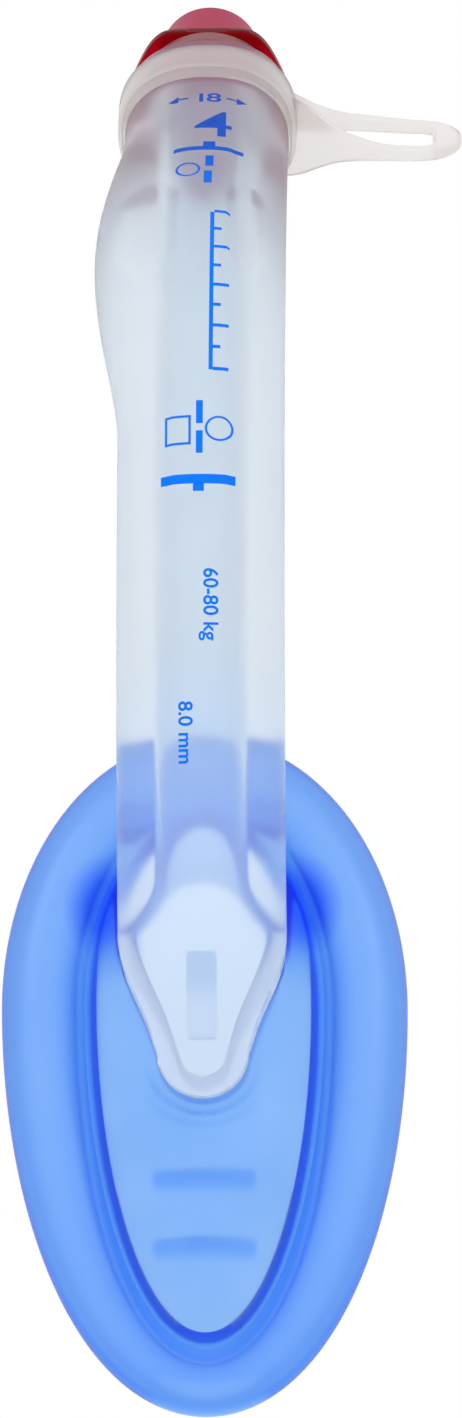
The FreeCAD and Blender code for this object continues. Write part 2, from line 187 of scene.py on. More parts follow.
def path(s):
    """Centre (Y, Z) and angle of the tube's path at the lengths s, in the mask's own frame.

    The path is an arc of the outlet's radius below zero, an arc of the bend's radius above it, and a straight
    line after the mouth angle: centre = crown + radius * (sin, cos - 1) of the angle s / radius.
    """
    t = sizes("tube")
    s = np.asarray(s, float)
    radius = np.where(s < 0, t.outlet_radius, t.bend_radius)
    angle = np.minimum(s / radius, t.mouth_angle)
    straight = np.maximum(s - t.bend_radius * t.mouth_angle, 0.0)
    y = t.crown_place + radius * np.sin(angle) + straight * np.cos(angle)
    z = t.crown_height + radius * (np.cos(angle) - 1) - straight * np.sin(angle)
    return y, z, angle


def along(s, x, b):
    """Points at the length s, x across and b towards the back, in the mask's own frame."""
    y, z, angle = path(s)
    s, x, b, y, z, angle = np.broadcast_arrays(s, x, b, y, z, angle)
    return np.stack([x, y + b * np.sin(angle), z + b * np.cos(angle)], axis=-1)


def placed(points):
    """Points of the mask's own frame, turned about X by the rest pitch and moved so that the rim meets its mount.

    The pitch is the mouth angle less the slope of the connector's axis as the record gives it.
    """
    t = sizes("tube")
    pitch = t.mouth_angle - math.atan2(-MOUTH_AXIS[2], MOUTH_AXIS[1])
    turn = np.array([
        [1, 0, 0],
        [0, math.cos(pitch), -math.sin(pitch)],
        [0, math.sin(pitch), math.cos(pitch)],
    ])
    rim = along(tube_lengths()["rim"], 0.0, 0.0)
    return (np.asarray(points) - rim) @ turn.T + RIM_CENTRE


def turns(count):
    """Angles of one full turn in equal steps, as a row."""
    return np.linspace(0, 2 * math.pi, count, endpoint=False)[None, :]


def smoothstep(low, high, value):
    """0 below low, 1 above high, and 3t^2 - 2t^3 between."""
    t = np.clip((value - low) / (high - low), 0.0, 1.0)
    return t * t * (3 - 2 * t)


def new_mesh(name, points, faces):
    """Mesh object at the origin from an array of points and an array of faces."""
    mesh = bpy.data.meshes.new(name)
    mesh.from_pydata(points.reshape(-1, 3), [], faces.tolist())
    mesh.update()
    obj = bpy.data.objects.new(name, mesh)
    bpy.context.scene.collection.objects.link(obj)
    return obj


def grid_faces(rows, columns, wrap_rows=False, wrap_columns=True):
    """Quads between neighbours of a grid of points, wrapped round where asked."""
    row = np.arange(rows if wrap_rows else rows - 1)
    column = np.arange(columns if wrap_columns else columns - 1)
    r, c = np.meshgrid(row, column, indexing="ij")
    r2 = (r + 1) % rows
    c2 = (c + 1) % columns
    quads = np.stack([r * columns + c, r * columns + c2, r2 * columns + c2, r2 * columns + c], axis=-1)
    return quads.reshape(-1, 4)


def grid_piece(name, points, wrap_rows=False, wrap_columns=True):
    """Object from a grid of points of shape (rows, columns, 3) in the part's frame, its ends closed by merging."""
    obj = new_mesh(name, points, grid_faces(points.shape[0], points.shape[1], wrap_rows, wrap_columns))
    tidy(obj)
    return obj


def tidy(obj, merge=0.004 * MM):
    """Merges doubles, points every face outwards and smooths the shading."""
    work = bmesh.new()
    work.from_mesh(obj.data)
    bmesh.ops.remove_doubles(work, verts=work.verts, dist=merge)
    bmesh.ops.dissolve_degenerate(work, edges=work.edges, dist=merge / 4)
    bmesh.ops.recalc_face_normals(work, faces=work.faces)
    for face in work.faces:
        face.smooth = True
    work.to_mesh(obj.data)
    work.free()


def capped(points):
    """The grid of points with a row at each end drawn in to that end's centre, so that it closes."""
    first = np.broadcast_to(points[:1].mean(axis=1, keepdims=True), points[:1].shape)
    last = np.broadcast_to(points[-1:].mean(axis=1, keepdims=True), points[-1:].shape)
    return np.concatenate([first, points, last])


def combine(obj, other, operation):
    """Applies an exact boolean of other to obj, and deletes other."""
    modifier = obj.modifiers.new("cut", "BOOLEAN")
    modifier.operation = operation
    modifier.solver = "EXACT"
    modifier.object = other
    apply_modifiers(obj)
    bpy.data.objects.remove(other)


def apply_modifiers(obj):
    """Replaces the object's mesh by the mesh that its modifiers make."""
    bpy.context.view_layer.update()
    result = bpy.data.meshes.new_from_object(obj.evaluated_get(bpy.context.evaluated_depsgraph_get()))
    obj.modifiers.clear()
    obj.data = result


def crease_shading(obj, degrees=38.0):
    """Smooth shading with edges kept sharp where faces meet at more than the angle."""
    obj.data.polygons.foreach_set("use_smooth", np.ones(len(obj.data.polygons), bool))
    obj.data.set_sharp_from_angle(angle=math.radians(degrees))


def srgb(hex_colour, alpha=1.0):
    """Linear RGBA of an sRGB hex colour."""
    value = hex_colour.lstrip("#")
    parts = [int(value[i:i + 2], 16) / 255 for i in (0, 2, 4)]
    linear = [p / 12.92 if p <= 0.04045 else ((p + 0.055) / 1.055) ** 2.4 for p in parts]
    return (*linear, alpha)


def node(tree, kind, values=None, links=None, **settings):
    """Adds a node, sets its attributes and sockets, and links outputs of other nodes to its inputs."""
    made = tree.nodes.new(kind)
    for key, value in settings.items():
        setattr(made, key, value)
    for key, value in (values or {}).items():
        made.inputs[key].default_value = value
    for key, output in (links or {}).items():
        tree.links.new(output, made.inputs[key])
    return made


def mixed(tree, first, second, factor):
    """Colour between two, by the factor: each is a hex colour or another node's output."""
    values = {key: srgb(tone) for key, tone in (("A", first), ("B", second)) if isinstance(tone, str)}
    links = {key: tone for key, tone in (("A", first), ("B", second)) if not isinstance(tone, str)}
    return node(tree, "ShaderNodeMix", values, {**links, "Factor": factor}, data_type="RGBA").outputs["Result"]


def product(tree, first, second):
    """The product of two nodes' outputs."""
    return node(tree, "ShaderNodeMath", links={0: first, 1: second}, operation="MULTIPLY").outputs[0]


def cloudy(tree, place, size_mm):
    """Soft noise from 0 to 1 whose clouds have the size given."""
    noise = node(tree, "ShaderNodeTexNoise", {"Scale": 1 / size_mm, "Detail": 2.0}, {"Vector": place})
    return noise.outputs["Fac"]


def skin(tree, tint, bump, roughness, ior, transmission, **more):
    """Principled surface of the tint and bump as the material's output, which it returns."""
    links = {"Base Color": tint}
    if bump:
        links["Normal"] = bump.outputs["Normal"]
    surface = node(tree, "ShaderNodeBsdfPrincipled",
                   {"Roughness": roughness, "IOR": ior, "Transmission Weight": transmission, **more}, links)
    return node(tree, "ShaderNodeOutputMaterial", links={"Surface": surface.outputs["BSDF"]})


def new_material(name):
    """Empty node material and its tree, with Object coordinates in millimetres."""
    material = bpy.data.materials.new(name)
    material.use_nodes = True
    tree = material.node_tree
    tree.nodes.clear()
    place = node(tree, "ShaderNodeTexCoord")
    scaled = node(tree, "ShaderNodeMapping", {"Scale": (1000, 1000, 1000)}, {"Vector": place.outputs["Object"]})
    return material, tree, scaled.outputs["Vector"]


def moulded_bump(tree, place, grain_mm, depth_mm, strength):
    """Faint waviness of a moulded surface: noise of the grain's size, as a bump of the depth given."""
    noise = node(tree, "ShaderNodeTexNoise", {"Scale": 1 / grain_mm, "Detail": 3.0, "Roughness": 0.5},
                 {"Vector": place})
    return node(tree, "ShaderNodeBump", {"Strength": strength, "Distance": depth_mm * MM},
                {"Height": noise.outputs["Fac"]})


def zone(tree, place, axis, low, high):
    """Share from 0 to 1 of the way between two places along an axis, measured in millimetres."""
    depth = node(tree, "ShaderNodeVectorMath", {1: tuple(float(v) for v in axis)}, {0: place},
                 operation="DOT_PRODUCT")
    share = node(tree, "ShaderNodeMapRange", {"From Min": low, "From Max": high},
                 {"Value": depth.outputs["Value"]})
    return share.outputs["Result"]


def rim_place():
    """How far along the mouth's axis the connector's rim is, in millimetres."""
    return float(np.dot(RIM_CENTRE, MOUTH_AXIS)) / MM


def mirrored(tree, place):
    """The place with both sides folded on one: across from the tube's midline, along and up, in millimetres."""
    across = node(tree, "ShaderNodeVectorMath", {1: (-float(RIM_CENTRE[0]) / MM, 0.0, 0.0)}, {0: place},
                  operation="ADD")
    folded = node(tree, "ShaderNodeVectorMath", links={0: across.outputs["Vector"]}, operation="ABSOLUTE")
    return folded.outputs["Vector"]


def clear_silicone():
    """Liquid silicone rubber, moulded in a polished tool: clear with a faint milky blue, wet-looking gloss.

    Near the mask the bowl's blue is painted on as a painted reflection, and inside the tether's band the
    connector's mauve is painted on as the stem seen through the wall.
    """
    material, tree, place = new_material("clear_liquid_silicone_rubber")
    bump = moulded_bump(tree, place, 9.0, 0.10, 0.35)
    tint = mixed(tree, sizes("finish").clear, "#E3EAF1", cloudy(tree, place, 14.0))
    # Painted reflection: the bowl's blue painted on the tube towards the mask
    blue = mixed(tree, tint, "#D6E6FA", zone(tree, place, (0, -1, 0), 22.0, 50.0))
    # Painted light: the stem's mauve, seen through the wall, painted on the tube inside the tether's band
    stem = product(tree, zone(tree, place, MOUTH_AXIS, rim_place() - 40.5, rim_place() - 37.5),
                   zone(tree, mirrored(tree, place), (1, 0, 0), 9.0, 6.5))
    skin(tree, mixed(tree, blue, "#D4B2C8", stem), bump, 0.36, 1.12, 0.82)
    return material


def blue_silicone(name="blue_silicone_rubber", density=260.0, pale="#D6E8FF"):
    """Pigmented translucent silicone rubber from a satin tool: light where thin, deep blue where edge-on.

    Red light is lost in it about twice as fast as green, and blue light hardly at all. Beside the tube, where it
    meets the bowl, a deeper blue is painted in as shade.
    """
    material, tree, place = new_material(name)
    bump = moulded_bump(tree, place, 6.0, 0.08, 0.4)
    tint = mixed(tree, sizes("finish").blue, pale, cloudy(tree, place, 10.0))
    # Painted shade: a deeper blue round the place beside the tube where it meets the bowl
    reach = node(tree, "ShaderNodeVectorMath", {1: PAINTED_SHADE_PLACE}, {0: mirrored(tree, place)}, operation="DISTANCE")
    painted_shade = node(tree, "ShaderNodeMapRange", {"From Min": 8.5, "From Max": 4.5}, {"Value": reach.outputs["Value"]})
    output = skin(tree, mixed(tree, tint, "#6C96FF", painted_shade.outputs["Result"]), bump, 0.34, 1.2, 0.97)
    depth = node(tree, "ShaderNodeVolumeAbsorption", {"Color": (0.02, 0.53, 1.0, 1.0), "Density": density})
    tree.links.new(depth.outputs["Volume"], output.inputs["Volume"])
    return material


def red_plastic():
    """Tinted polypropylene, moulded and glossy: pink in the thin cone, deep red in the flange, mauve in the stem.

    The colour follows the place along the connector's axis, measured in millimetres from the cone's rim; these
    tones are painted light, standing in for the one tint seen through more or less depth and, in the stem, through
    the clear tube.
    """
    material, tree, place = new_material("red_tinted_polypropylene")
    bump = moulded_bump(tree, place, 5.0, 0.05, 0.3)
    share = zone(tree, place, MOUTH_AXIS, rim_place() - 50.0, rim_place())
    painted_depth_tones = node(tree, "ShaderNodeValToRGB", links={"Fac": share})
    red = sizes("finish").red
    # Painted light: tones of the one tint by its depth, with the stem's mauve as seen through the clear tube
    stops = ((0.0, "#C890E4"), (0.45, "#B478C0"), (0.60, "#98103C"), (0.62, red), (0.672, red),
             (0.69, "#AC0C46"), (1.0, "#B40E4C"))
    for count, (spot, tone) in enumerate(stops):
        stop = painted_depth_tones.color_ramp.elements[count] if count < 2 else painted_depth_tones.color_ramp.elements.new(spot)
        stop.position = spot
        stop.color = srgb(tone)
    skin(tree, painted_depth_tones.outputs["Color"], bump, 0.28, 1.12, 0.9, **{"Specular IOR Level": 0.2})
    return material


def milky_silicone():
    """Unpigmented silicone rubber, thick and milky, with a soft satin skin.

    On the upper side of its ring a red is painted in as a painted reflection of the flange beside it.
    """
    material, tree, place = new_material("milky_silicone_rubber")
    bump = moulded_bump(tree, place, 4.0, 0.06, 0.4)
    ring = product(tree, zone(tree, place, MOUTH_AXIS, rim_place() - 23.5, rim_place() - 20.0),
                   zone(tree, place, (-1, 0, 0), -12.0, -7.0))
    upwards = np.array([0.0, -MOUTH_AXIS[2], MOUTH_AXIS[1]])
    level = float(np.dot(RIM_CENTRE, upwards)) / MM
    # Painted reflection: the flange's red painted on the upper side of the ring
    upper = product(tree, ring, zone(tree, place, upwards, level - 6.0, level + 2.0))
    skin(tree, mixed(tree, sizes("finish").milk, "#DDBBC0", upper), bump, 0.4, 1.15, 0.85)
    return material


def ramp_silicone():
    """Unpigmented silicone rubber blade, satin; on its upper half the bowl's blue is painted on as a painted
    reflection.
    """
    material, tree, place = new_material("pale_silicone_rubber")
    bump = moulded_bump(tree, place, 3.0, 0.05, 0.3)
    # Painted reflection: the bowl's blue painted on the blade's upper half
    tint = mixed(tree, "#FAFCFF", "#DCE9F8", zone(tree, place, (0, 1, 0), -73.5, -71.5))
    skin(tree, tint, bump, 0.3, 1.12, 0.9)
    return material


def blue_ink():
    """Silicone pad-printing ink: opaque blue film with slightly uneven cover, with painted shade darkening it over
    the mauve stem.
    """
    material, tree, place = new_material("blue_pad_printing_ink")
    tint = mixed(tree, sizes("finish").ink, "#0678EE", cloudy(tree, place, 0.6))
    # Painted shade: the marks darkened towards the connector's end
    tint = mixed(tree, tint, "#1C4EB2", zone(tree, place, (0, 1, 0), 55.0, 72.0))
    skin(tree, tint, None, 0.6, 1.5, 0.0, **{"Specular IOR Level": 0.05})
    return material


def dress(obj, material):
    """Gives the object the one material."""
    obj.data.materials.clear()
    obj.data.materials.append(material)


def oval_height(x, half, height):
    """Height of the tube's oval at x: a superellipse a little squarer than an ellipse."""
    return height * np.clip(1 - np.abs(x / half) ** ROUNDNESS, 0, 1) ** (1 / ROUNDNESS)


def oval_across(a):
    """Share of the half width at the angle a on the same superellipse."""
    return np.sign(np.cos(a)) * np.abs(np.cos(a)) ** (2 / ROUNDNESS)


def midline_height(s, x):
    """Height of the tube's back above its path: the oval, a raised flat midline and a groove each side of it.

    The midline is 0.2 mm proud and 3.8 mm to each side. The grooves lie 6.6 mm from it, from 82 to 107 mm along
    the path, and taper to a V towards the mask.
    """
    t = sizes("tube")
    half = t.width / 2
    oval = oval_height(x, half, t.thickness / 2)
    ridge = 0.2 * MM * (1 - smoothstep(3.8 * MM, 5.0 * MM, np.abs(x))) * smoothstep(-5 * MM, 15 * MM, s)
    ridge = ridge * (1 - smoothstep(134 * MM, 141 * MM, s))
    run = smoothstep(82 * MM, 92 * MM, s) * (1 - smoothstep(103 * MM, 107 * MM, s))
    across = np.abs(np.abs(x) - 6.6 * MM) / (0.8 * MM + 2.4 * MM * run)
    groove = t.groove_depth * run * (1 - smoothstep(0.45, 1.0, across))
    return oval + ridge - groove


def tube_skin(rows, columns, grow=0.0):
    """Closed grid of the tube's outside: ovals along the path, with the bite-block lobe swelling its left side.

    The lobe moves points left by its reach, times sin^1.5 along its length and a soft step round the section.
    """
    t = sizes("tube")
    s = np.linspace(-t.outlet_length - t.thickness, tube_lengths()["end"], rows)[:, None]
    a = turns(columns)
    half = t.width / 2 + grow
    x = half * oval_across(a) + 0 * s
    core = x * (t.width / 2) / half
    back = midline_height(s, core)
    front = -oval_height(core, t.width / 2, t.thickness / 2)
    b = np.where(np.sin(a) >= 0, back + grow * np.sin(a), front + grow * np.sin(a))
    share = np.clip((s - t.lobe_start) / (t.lobe_end - t.lobe_start), 0, 1)
    swell = np.sin(math.pi * share) ** 1.5
    side = smoothstep(0.25, 0.85, -np.cos(a))
    x = x - t.lobe_reach * swell * side
    return placed(along(s, x, b))


def outlet_prism(inset):
    """Closed prism on the keyhole outline: the tube's width, tapering in an S to a round tip towards the bowl."""
    t = sizes("tube")
    tip = t.tip_radius - inset
    side = t.width / 2 - inset
    tip_y = path(-t.outlet_length)[0] + t.tip_radius
    near_y = path(-t.taper_near)[0]
    far_y = path(-t.taper_far)[0]
    turn = np.linspace(-math.pi / 2, 0, 24)
    taper_y = np.linspace(tip_y, near_y, 24)[1:]
    taper_x = tip + (side - tip) * smoothstep(far_y - 3 * MM, near_y, taper_y)
    half_x = np.concatenate([tip * np.cos(turn), taper_x, [side + 6 * MM, side + 6 * MM]])
    half_y = np.concatenate([tip_y + tip * np.sin(turn), taper_y, [near_y + 6 * MM, TALL]])
    x = np.concatenate([half_x, -half_x[:0:-1]])
    y = np.concatenate([half_y, half_y[:0:-1]])
    rows = np.stack([np.stack([x, y, np.full_like(x, z)], axis=-1) for z in (-TALL, TALL)])
    return grid_piece("prism", placed(capped(rows)))


def tube_bore(radius, start, end, name):
    """Closed round tube along the path from start to end."""
    s = np.linspace(start, end, 140)[:, None]
    a = turns(72)
    return grid_piece(name, placed(capped(along(s, radius * np.cos(a), radius * np.sin(a)))))


def slab(name, low, high):
    """Closed box in the mask's own frame, between two corners."""
    x, y, z = np.meshgrid(*[np.array([a, b]) for a, b in zip(low, high)], indexing="ij")
    points = np.stack([x, y, z], axis=-1).reshape(-1, 3)
    faces = np.array([[0, 1, 3, 2], [4, 6, 7, 5], [0, 4, 5, 1], [2, 3, 7, 6], [0, 2, 6, 4], [1, 5, 7, 3]])
    obj = new_mesh(name, placed(points), faces)
    tidy(obj)
    return obj


def tube_envelope(name, grow=0.0):
    """The tube's outside as a closed solid: its skin, cut to the keyhole outline and to the skirt's floor."""
    t = sizes("tube")
    body = grid_piece(name, capped(tube_skin(330, 128, grow)))
    combine(body, outlet_prism(-grow), "INTERSECT")
    below = slab("below", (-2 * t.width, -TALL, -TALL), (2 * t.width, t.crown_place, t.skirt_floor - grow))
    combine(body, below, "DIFFERENCE")
    return body


def outlet_hollow():
    """Closed grid of the hollow outlet: the round bore opens smoothly to the wide roof, and its floor drops away.

    Upper half: w cos a, h sin a; lower half: w cos a, -d |sin a| ^ 0.6, from 8 to 23 mm below the crown.
    """
    t = sizes("tube")
    s = np.linspace(-t.outlet_length - t.thickness, -5 * MM, 90)[:, None]
    a = turns(96)
    opening = smoothstep(8 * MM, 23 * MM, -s)
    bore = t.bore / 2
    across = bore + (t.width / 2 - bore) * opening
    roof = bore + (t.thickness / 2 - t.outlet_wall - bore) * opening
    drop = bore + (32 * MM - bore) * smoothstep(6 * MM, 17 * MM, -s)
    upper = roof * np.sin(a)
    lower = -drop * np.abs(np.sin(a)) ** (1 - 0.4 * opening)
    return placed(capped(along(s, across * np.cos(a), np.where(np.sin(a) >= 0, upper, lower))))


class AIRWAY_OT_tube(bpy.types.Operator):
    """Clear airway tube with its bore, keyhole outlet, lobe, midline and grooves"""
    bl_idname = "airway.tube"
    bl_label = "Airway tube"

    def execute(self, context):
        t = sizes("tube")
        ends = tube_lengths()
        tube = tube_envelope("airway_tube_moulding")
        combine(tube, tube_bore(t.bore / 2, -8 * MM, ends["end"] + 1 * MM, "bore"), "DIFFERENCE")
        window = grid_piece("window", outlet_hollow())
        combine(window, outlet_prism(t.outlet_rim), "INTERSECT")
        combine(tube, window, "DIFFERENCE")
        tidy(tube)
        crease_shading(tube)
        dress(tube, clear_silicone())
        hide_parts("airway_tube")
        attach(tube, "airway")
        return {"FINISHED"}


def ring_section(u, v, hollow):
    """Points of the cuff's skin, or of its hollow: an oval section carried round the egg-shaped plan.

    u runs round the ring, v round the section. Width, height and wall pass from the side's to the end's by
    sin^2 u. The wall is thicker on the bowl's side, where the plate is glued in.
    """
    m = sizes("mask")
    tip = np.sin(u) < 0
    share = np.sin(u) ** 2
    width = m.side_width + (np.where(tip, m.tip_width, m.heel_width) - m.side_width) * share
    height = m.side_height + (np.where(tip, m.tip_height, m.heel_height) - m.side_height) * share
    wall = (m.wall + np.where(tip, m.tip_wall - m.wall, 0.0) * share) * hollow
    seat = m.seat_extra / 2 * hollow
    half_width = m.half_width - width / 2
    half_reach = np.where(tip, m.tip_reach, m.heel_reach) - width / 2
    out_x = half_reach * np.cos(u)
    out_y = half_width * np.sin(u)
    size = np.hypot(out_x, out_y)
    radial = (width / 2 - wall - seat) * np.cos(v) + seat
    up = (height / 2 - wall) * np.sin(v)
    x = half_width * np.cos(u) + radial * out_x / size
    y = half_reach * np.sin(u) + radial * out_y / size
    return np.stack(np.broadcast_arrays(x, y, up), axis=-1)


def flattened(points):
    """The points with those below the resting surface lifted on to it."""
    points = np.array(points)
    points[..., 2] = np.maximum(points[..., 2], 0.0)
    return points


class AIRWAY_OT_cuff(bpy.types.Operator):
    """Hollow blue cuff ring, flat only where its tip rests"""
    bl_idname = "airway.cuff"
    bl_label = "Cuff ring"

    def execute(self, context):
        m = sizes("mask")
        rows, columns = 300, 72
        u, v = turns(rows).T, turns(columns)
        outside = flattened(placed(ring_section(u, v, 0)))
        inside = placed(ring_section(u, v, 1))
        inside[..., 2] = np.maximum(inside[..., 2], m.wall / 2)
        faces = grid_faces(rows, columns, True, True)
        count = rows * columns
        points = np.concatenate([outside.reshape(-1, 3), inside.reshape(-1, 3)])
        both = np.concatenate([faces[:, ::-1], faces + count])
        cuff = new_mesh("cuff_ring", points, both)
        cuff.data.polygons.foreach_set("use_smooth", np.ones(len(cuff.data.polygons), bool))
        dress(cuff, blue_silicone())
        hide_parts("mask_cuff")
        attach(cuff, "airway")
        return {"FINISHED"}


def plate_surface(u, rise_angle, drop):
    """Point of the plate's dome: its own plan shrunk as the height climbs a quarter ellipse.

    At the angle r the plan is shrunk by its half width * (1 - cos r) and the height is edge + rise * sin r.
    """
    m = sizes("mask")
    side = m.half_width - m.side_width + m.plate_lap
    inward = side * (1 - np.cos(rise_angle))
    across = side - inward
    reach = np.where(np.sin(u) < 0, m.tip_reach - m.tip_width, m.heel_reach - m.heel_width) + m.plate_lap - inward
    z = m.plate_edge + m.plate_rise * np.sin(rise_angle) - drop
    return np.stack(np.broadcast_arrays(across * np.cos(u), reach * np.sin(u), z), axis=-1)


def relief(x, y):
    """Depth of what stands down under the plate, in smooth steps of the place on its plan.

    Two cross ridges, steep on the heel's side and fading towards the tip; two fine lines, bell curves of the
    distance from the outlet's round tip; and a thick web on each side where the seam runs in to the tube.
    """
    m, t = sizes("mask"), sizes("tube")
    within = 1 - smoothstep(6.5 * MM, 7.9 * MM, np.abs(x))
    ridges = 0
    for place in RIDGE_PLACES:
        rise = smoothstep((place - 0.6) * MM, (place + 2.6) * MM, y)
        ridges = ridges + rise * (1 - smoothstep((place + 2.6) * MM, (place + 3.8) * MM, y))
    tip_y = path(-t.outlet_length)[0] + t.tip_radius
    spread = np.hypot(x, y - tip_y) - t.tip_radius
    lines = np.exp(-((spread - 1.8 * MM) / (0.45 * MM)) ** 2)
    lines = lines + 0.6 * np.exp(-((spread - 3.6 * MM) / (0.5 * MM)) ** 2)
    lines = lines * (1 - smoothstep(tip_y - 3 * MM, tip_y, y)) * (1 - smoothstep(6.5 * MM, 9.0 * MM, np.abs(x)))
    web = smoothstep(1 * MM, 13 * MM, y) * (1 - smoothstep(24 * MM, 28 * MM, y))
    web = web * smoothstep(11 * MM, 12.5 * MM, np.abs(x))
    return m.ridge_height * within * ridges + 0.7 * MM * lines + 3.0 * MM * web


class AIRWAY_OT_plate(bpy.types.Operator):
    """Dished blue plate inside the ring, open where the outlet fills it"""
    bl_idname = "airway.plate"
    bl_label = "Bowl plate"

    def execute(self, context):
        m = sizes("mask")
        u = turns(320)
        r = np.linspace(0, math.pi / 2, 76)[:, None]
        top = plate_surface(u, r, 0.0)
        under = plate_surface(u, r, m.plate_wall)
        under[..., 2] -= relief(under[..., 0], under[..., 1])
        # Inside of the deep rim: the edge's plan shrunk by the rim's width, from its foot up to the underside
        round_plan = np.stack([np.cos(u), np.sin(u), 0 * u], axis=-1)
        centre = top[:1] - m.rim_width * round_plan
        foot = m.plate_edge - m.rim_depth
        corner = 0.4 * MM
        rim = [top[:1] * 0 + spot for spot in (top[:1], top[:1], centre, centre)]
        for ring, height in zip(rim, (foot + corner, foot, foot, foot + corner)):
            ring[..., 2] = height
        rim[1] -= corner * round_plan
        rim[2] += corner * round_plan
        kept = np.argmax(1 - np.cos(r[:, 0]) > m.rim_width / (m.half_width - m.side_width + m.plate_lap))
        plate = grid_piece("bowl_back_plate", placed(np.concatenate([top[::-1], *rim, under[kept:]])))
        combine(plate, tube_envelope("plug", CLOSE_FIT), "DIFFERENCE")
        tidy(plate)
        crease_shading(plate)
        dress(plate, blue_silicone("blue_silicone_plate", 450.0, "#B4D4F6"))
        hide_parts("bowl_plate")
        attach(plate, "airway")
        return {"FINISHED"}


class AIRWAY_OT_ramp(bpy.types.Operator):
    """Small blade that stands under the outlet's roof"""
    bl_idname = "airway.ramp"
    bl_label = "Ramp tongue"

    def execute(self, context):
        t = sizes("tube")
        half, span, thick = t.ramp_width / 2, t.ramp_length, t.ramp_thickness
        top = t.thickness / 2 - t.outlet_wall - 0.05 * MM
        s = np.linspace(-t.ramp_place - span, -t.ramp_place, 30)[:, None]
        v = turns(48)
        ends = 1 - 0.12 * smoothstep(0.8, 1.0, np.abs(2 * (s - s.mean()) / span))
        sag = (half * rounded(np.cos(v))) ** 2 / t.width
        b = top - thick / 2 + thick / 2 * rounded(np.sin(v)) * ends - sag
        blade = grid_piece("ramp_blade", placed(capped(along(s, half * rounded(np.cos(v)) * ends, b))))
        crease_shading(blade)
        dress(blade, ramp_silicone())
        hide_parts("ramp_tongue")
        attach(blade, "airway")
        return {"FINISHED"}


def rounded(wave):
    """Rounded-square wave: the sine or cosine raised to the power 0.4, with its sign kept."""
    return np.sign(wave) * np.abs(wave) ** 0.4


class AIRWAY_OT_connector(bpy.types.Operator):
    """Red connector: male cone, flange with two flats, neck and long bored stem"""
    bl_idname = "airway.connector"
    bl_label = "Connector"

    def execute(self, context):
        t = sizes("tube")
        c = sizes("connector")
        ends = tube_lengths()
        seat = ends["end"] + SEAT_GAP
        stem = seat - c.stem
        flange, foot, rim = ends["flange"], ends["foot"], ends["rim"]
        bore, core, neck, cone = c.bore / 2, t.bore / 2 - 0.05 * MM, c.neck / 2, c.cone_end / 2
        root = cone + c.cone_length / 80
        # Profile rows: place, radius, and for the flange's rows the inset from its outline
        rows = [
            (stem, bore, None), (stem, core - 0.5 * MM, None), (stem + 0.15 * MM, core - 0.15 * MM, None),
            (stem + 0.5 * MM, core, None), (seat, core, None), (seat, neck - 0.2 * MM, None),
            (seat + 0.2 * MM, neck, None), (flange - 0.1 * MM, neck, None), (flange, neck + 0.1 * MM, None),
            (flange, 0, 0.6 * MM), (flange + 0.12 * MM, 0, 0.2 * MM), (flange + 0.45 * MM, 0, 0),
            (foot - 0.45 * MM, 0, 0), (foot - 0.12 * MM, 0, 0.2 * MM), (foot, 0, 0.6 * MM),
            (foot, root + 0.5 * MM, None), (foot + 0.12 * MM, root + 0.15 * MM, None),
            (foot + 0.5 * MM, root, None), (rim - 0.5 * MM, cone, None), (rim - 0.15 * MM, cone - 0.15 * MM, None),
            (rim, cone - 0.5 * MM, None), (rim, bore + 0.9 * MM, None), (rim - 0.6 * MM, bore + 0.25 * MM, None),
            (rim - 1.6 * MM, bore, None),
        ]
        a = turns(160)
        # Flange outline: circle, two flats and four slanting flats at 25 degrees, with the corners rounded
        power = 30.0
        limits = [c.flange / 2 + 0 * a, c.flats / 2 / np.maximum(np.abs(np.sin(a)), 1e-3)]
        for lean in (-25.0, 25.0):
            facing = np.abs(np.cos(a - math.radians(lean)))
            limits.append(c.slants / 2 / np.maximum(facing, 1e-3))
        unit = c.flange / 2
        outline = np.sum([(limit / unit) ** -power for limit in limits], axis=0) ** (-1 / power) * unit
        place = np.array([row[0] for row in rows])[:, None]
        round_radius = np.array([row[1] for row in rows])[:, None]
        inset = np.array([row[2] or 0.0 for row in rows])[:, None]
        on_flange = np.array([row[2] is not None for row in rows])[:, None]
        radius = np.where(on_flange, outline - inset, round_radius)
        points = placed(along(place, radius * np.cos(a), radius * np.sin(a)))
        connector = grid_piece("conical_connector", points, wrap_rows=True)
        crease_shading(connector, 30.0)
        dress(connector, red_plastic())
        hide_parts("connector")
        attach(connector, "connector")
        return {"FINISHED"}


def tether_band(name, rows):
    """Closed oval drum on the tube's path; each row is a length and how far the skin stands off the tube."""
    t = sizes("tube")
    rows = np.array(rows) * MM
    a = turns(128)
    stand = rows[:, 1:2]
    x = (t.width / 2 + stand) * oval_across(a)
    b = np.sign(np.sin(a)) * oval_height(x, t.width / 2 + stand, t.thickness / 2 + stand)
    return grid_piece(name, placed(capped(along(rows[:, 0:1], x, b))))


def softened(values, window):
    """Running mean of the values over the window, with the ends held."""
    padded = np.pad(values, window // 2, mode="edge")
    return np.convolve(padded, np.ones(window) / window, mode="valid")[:len(values)]


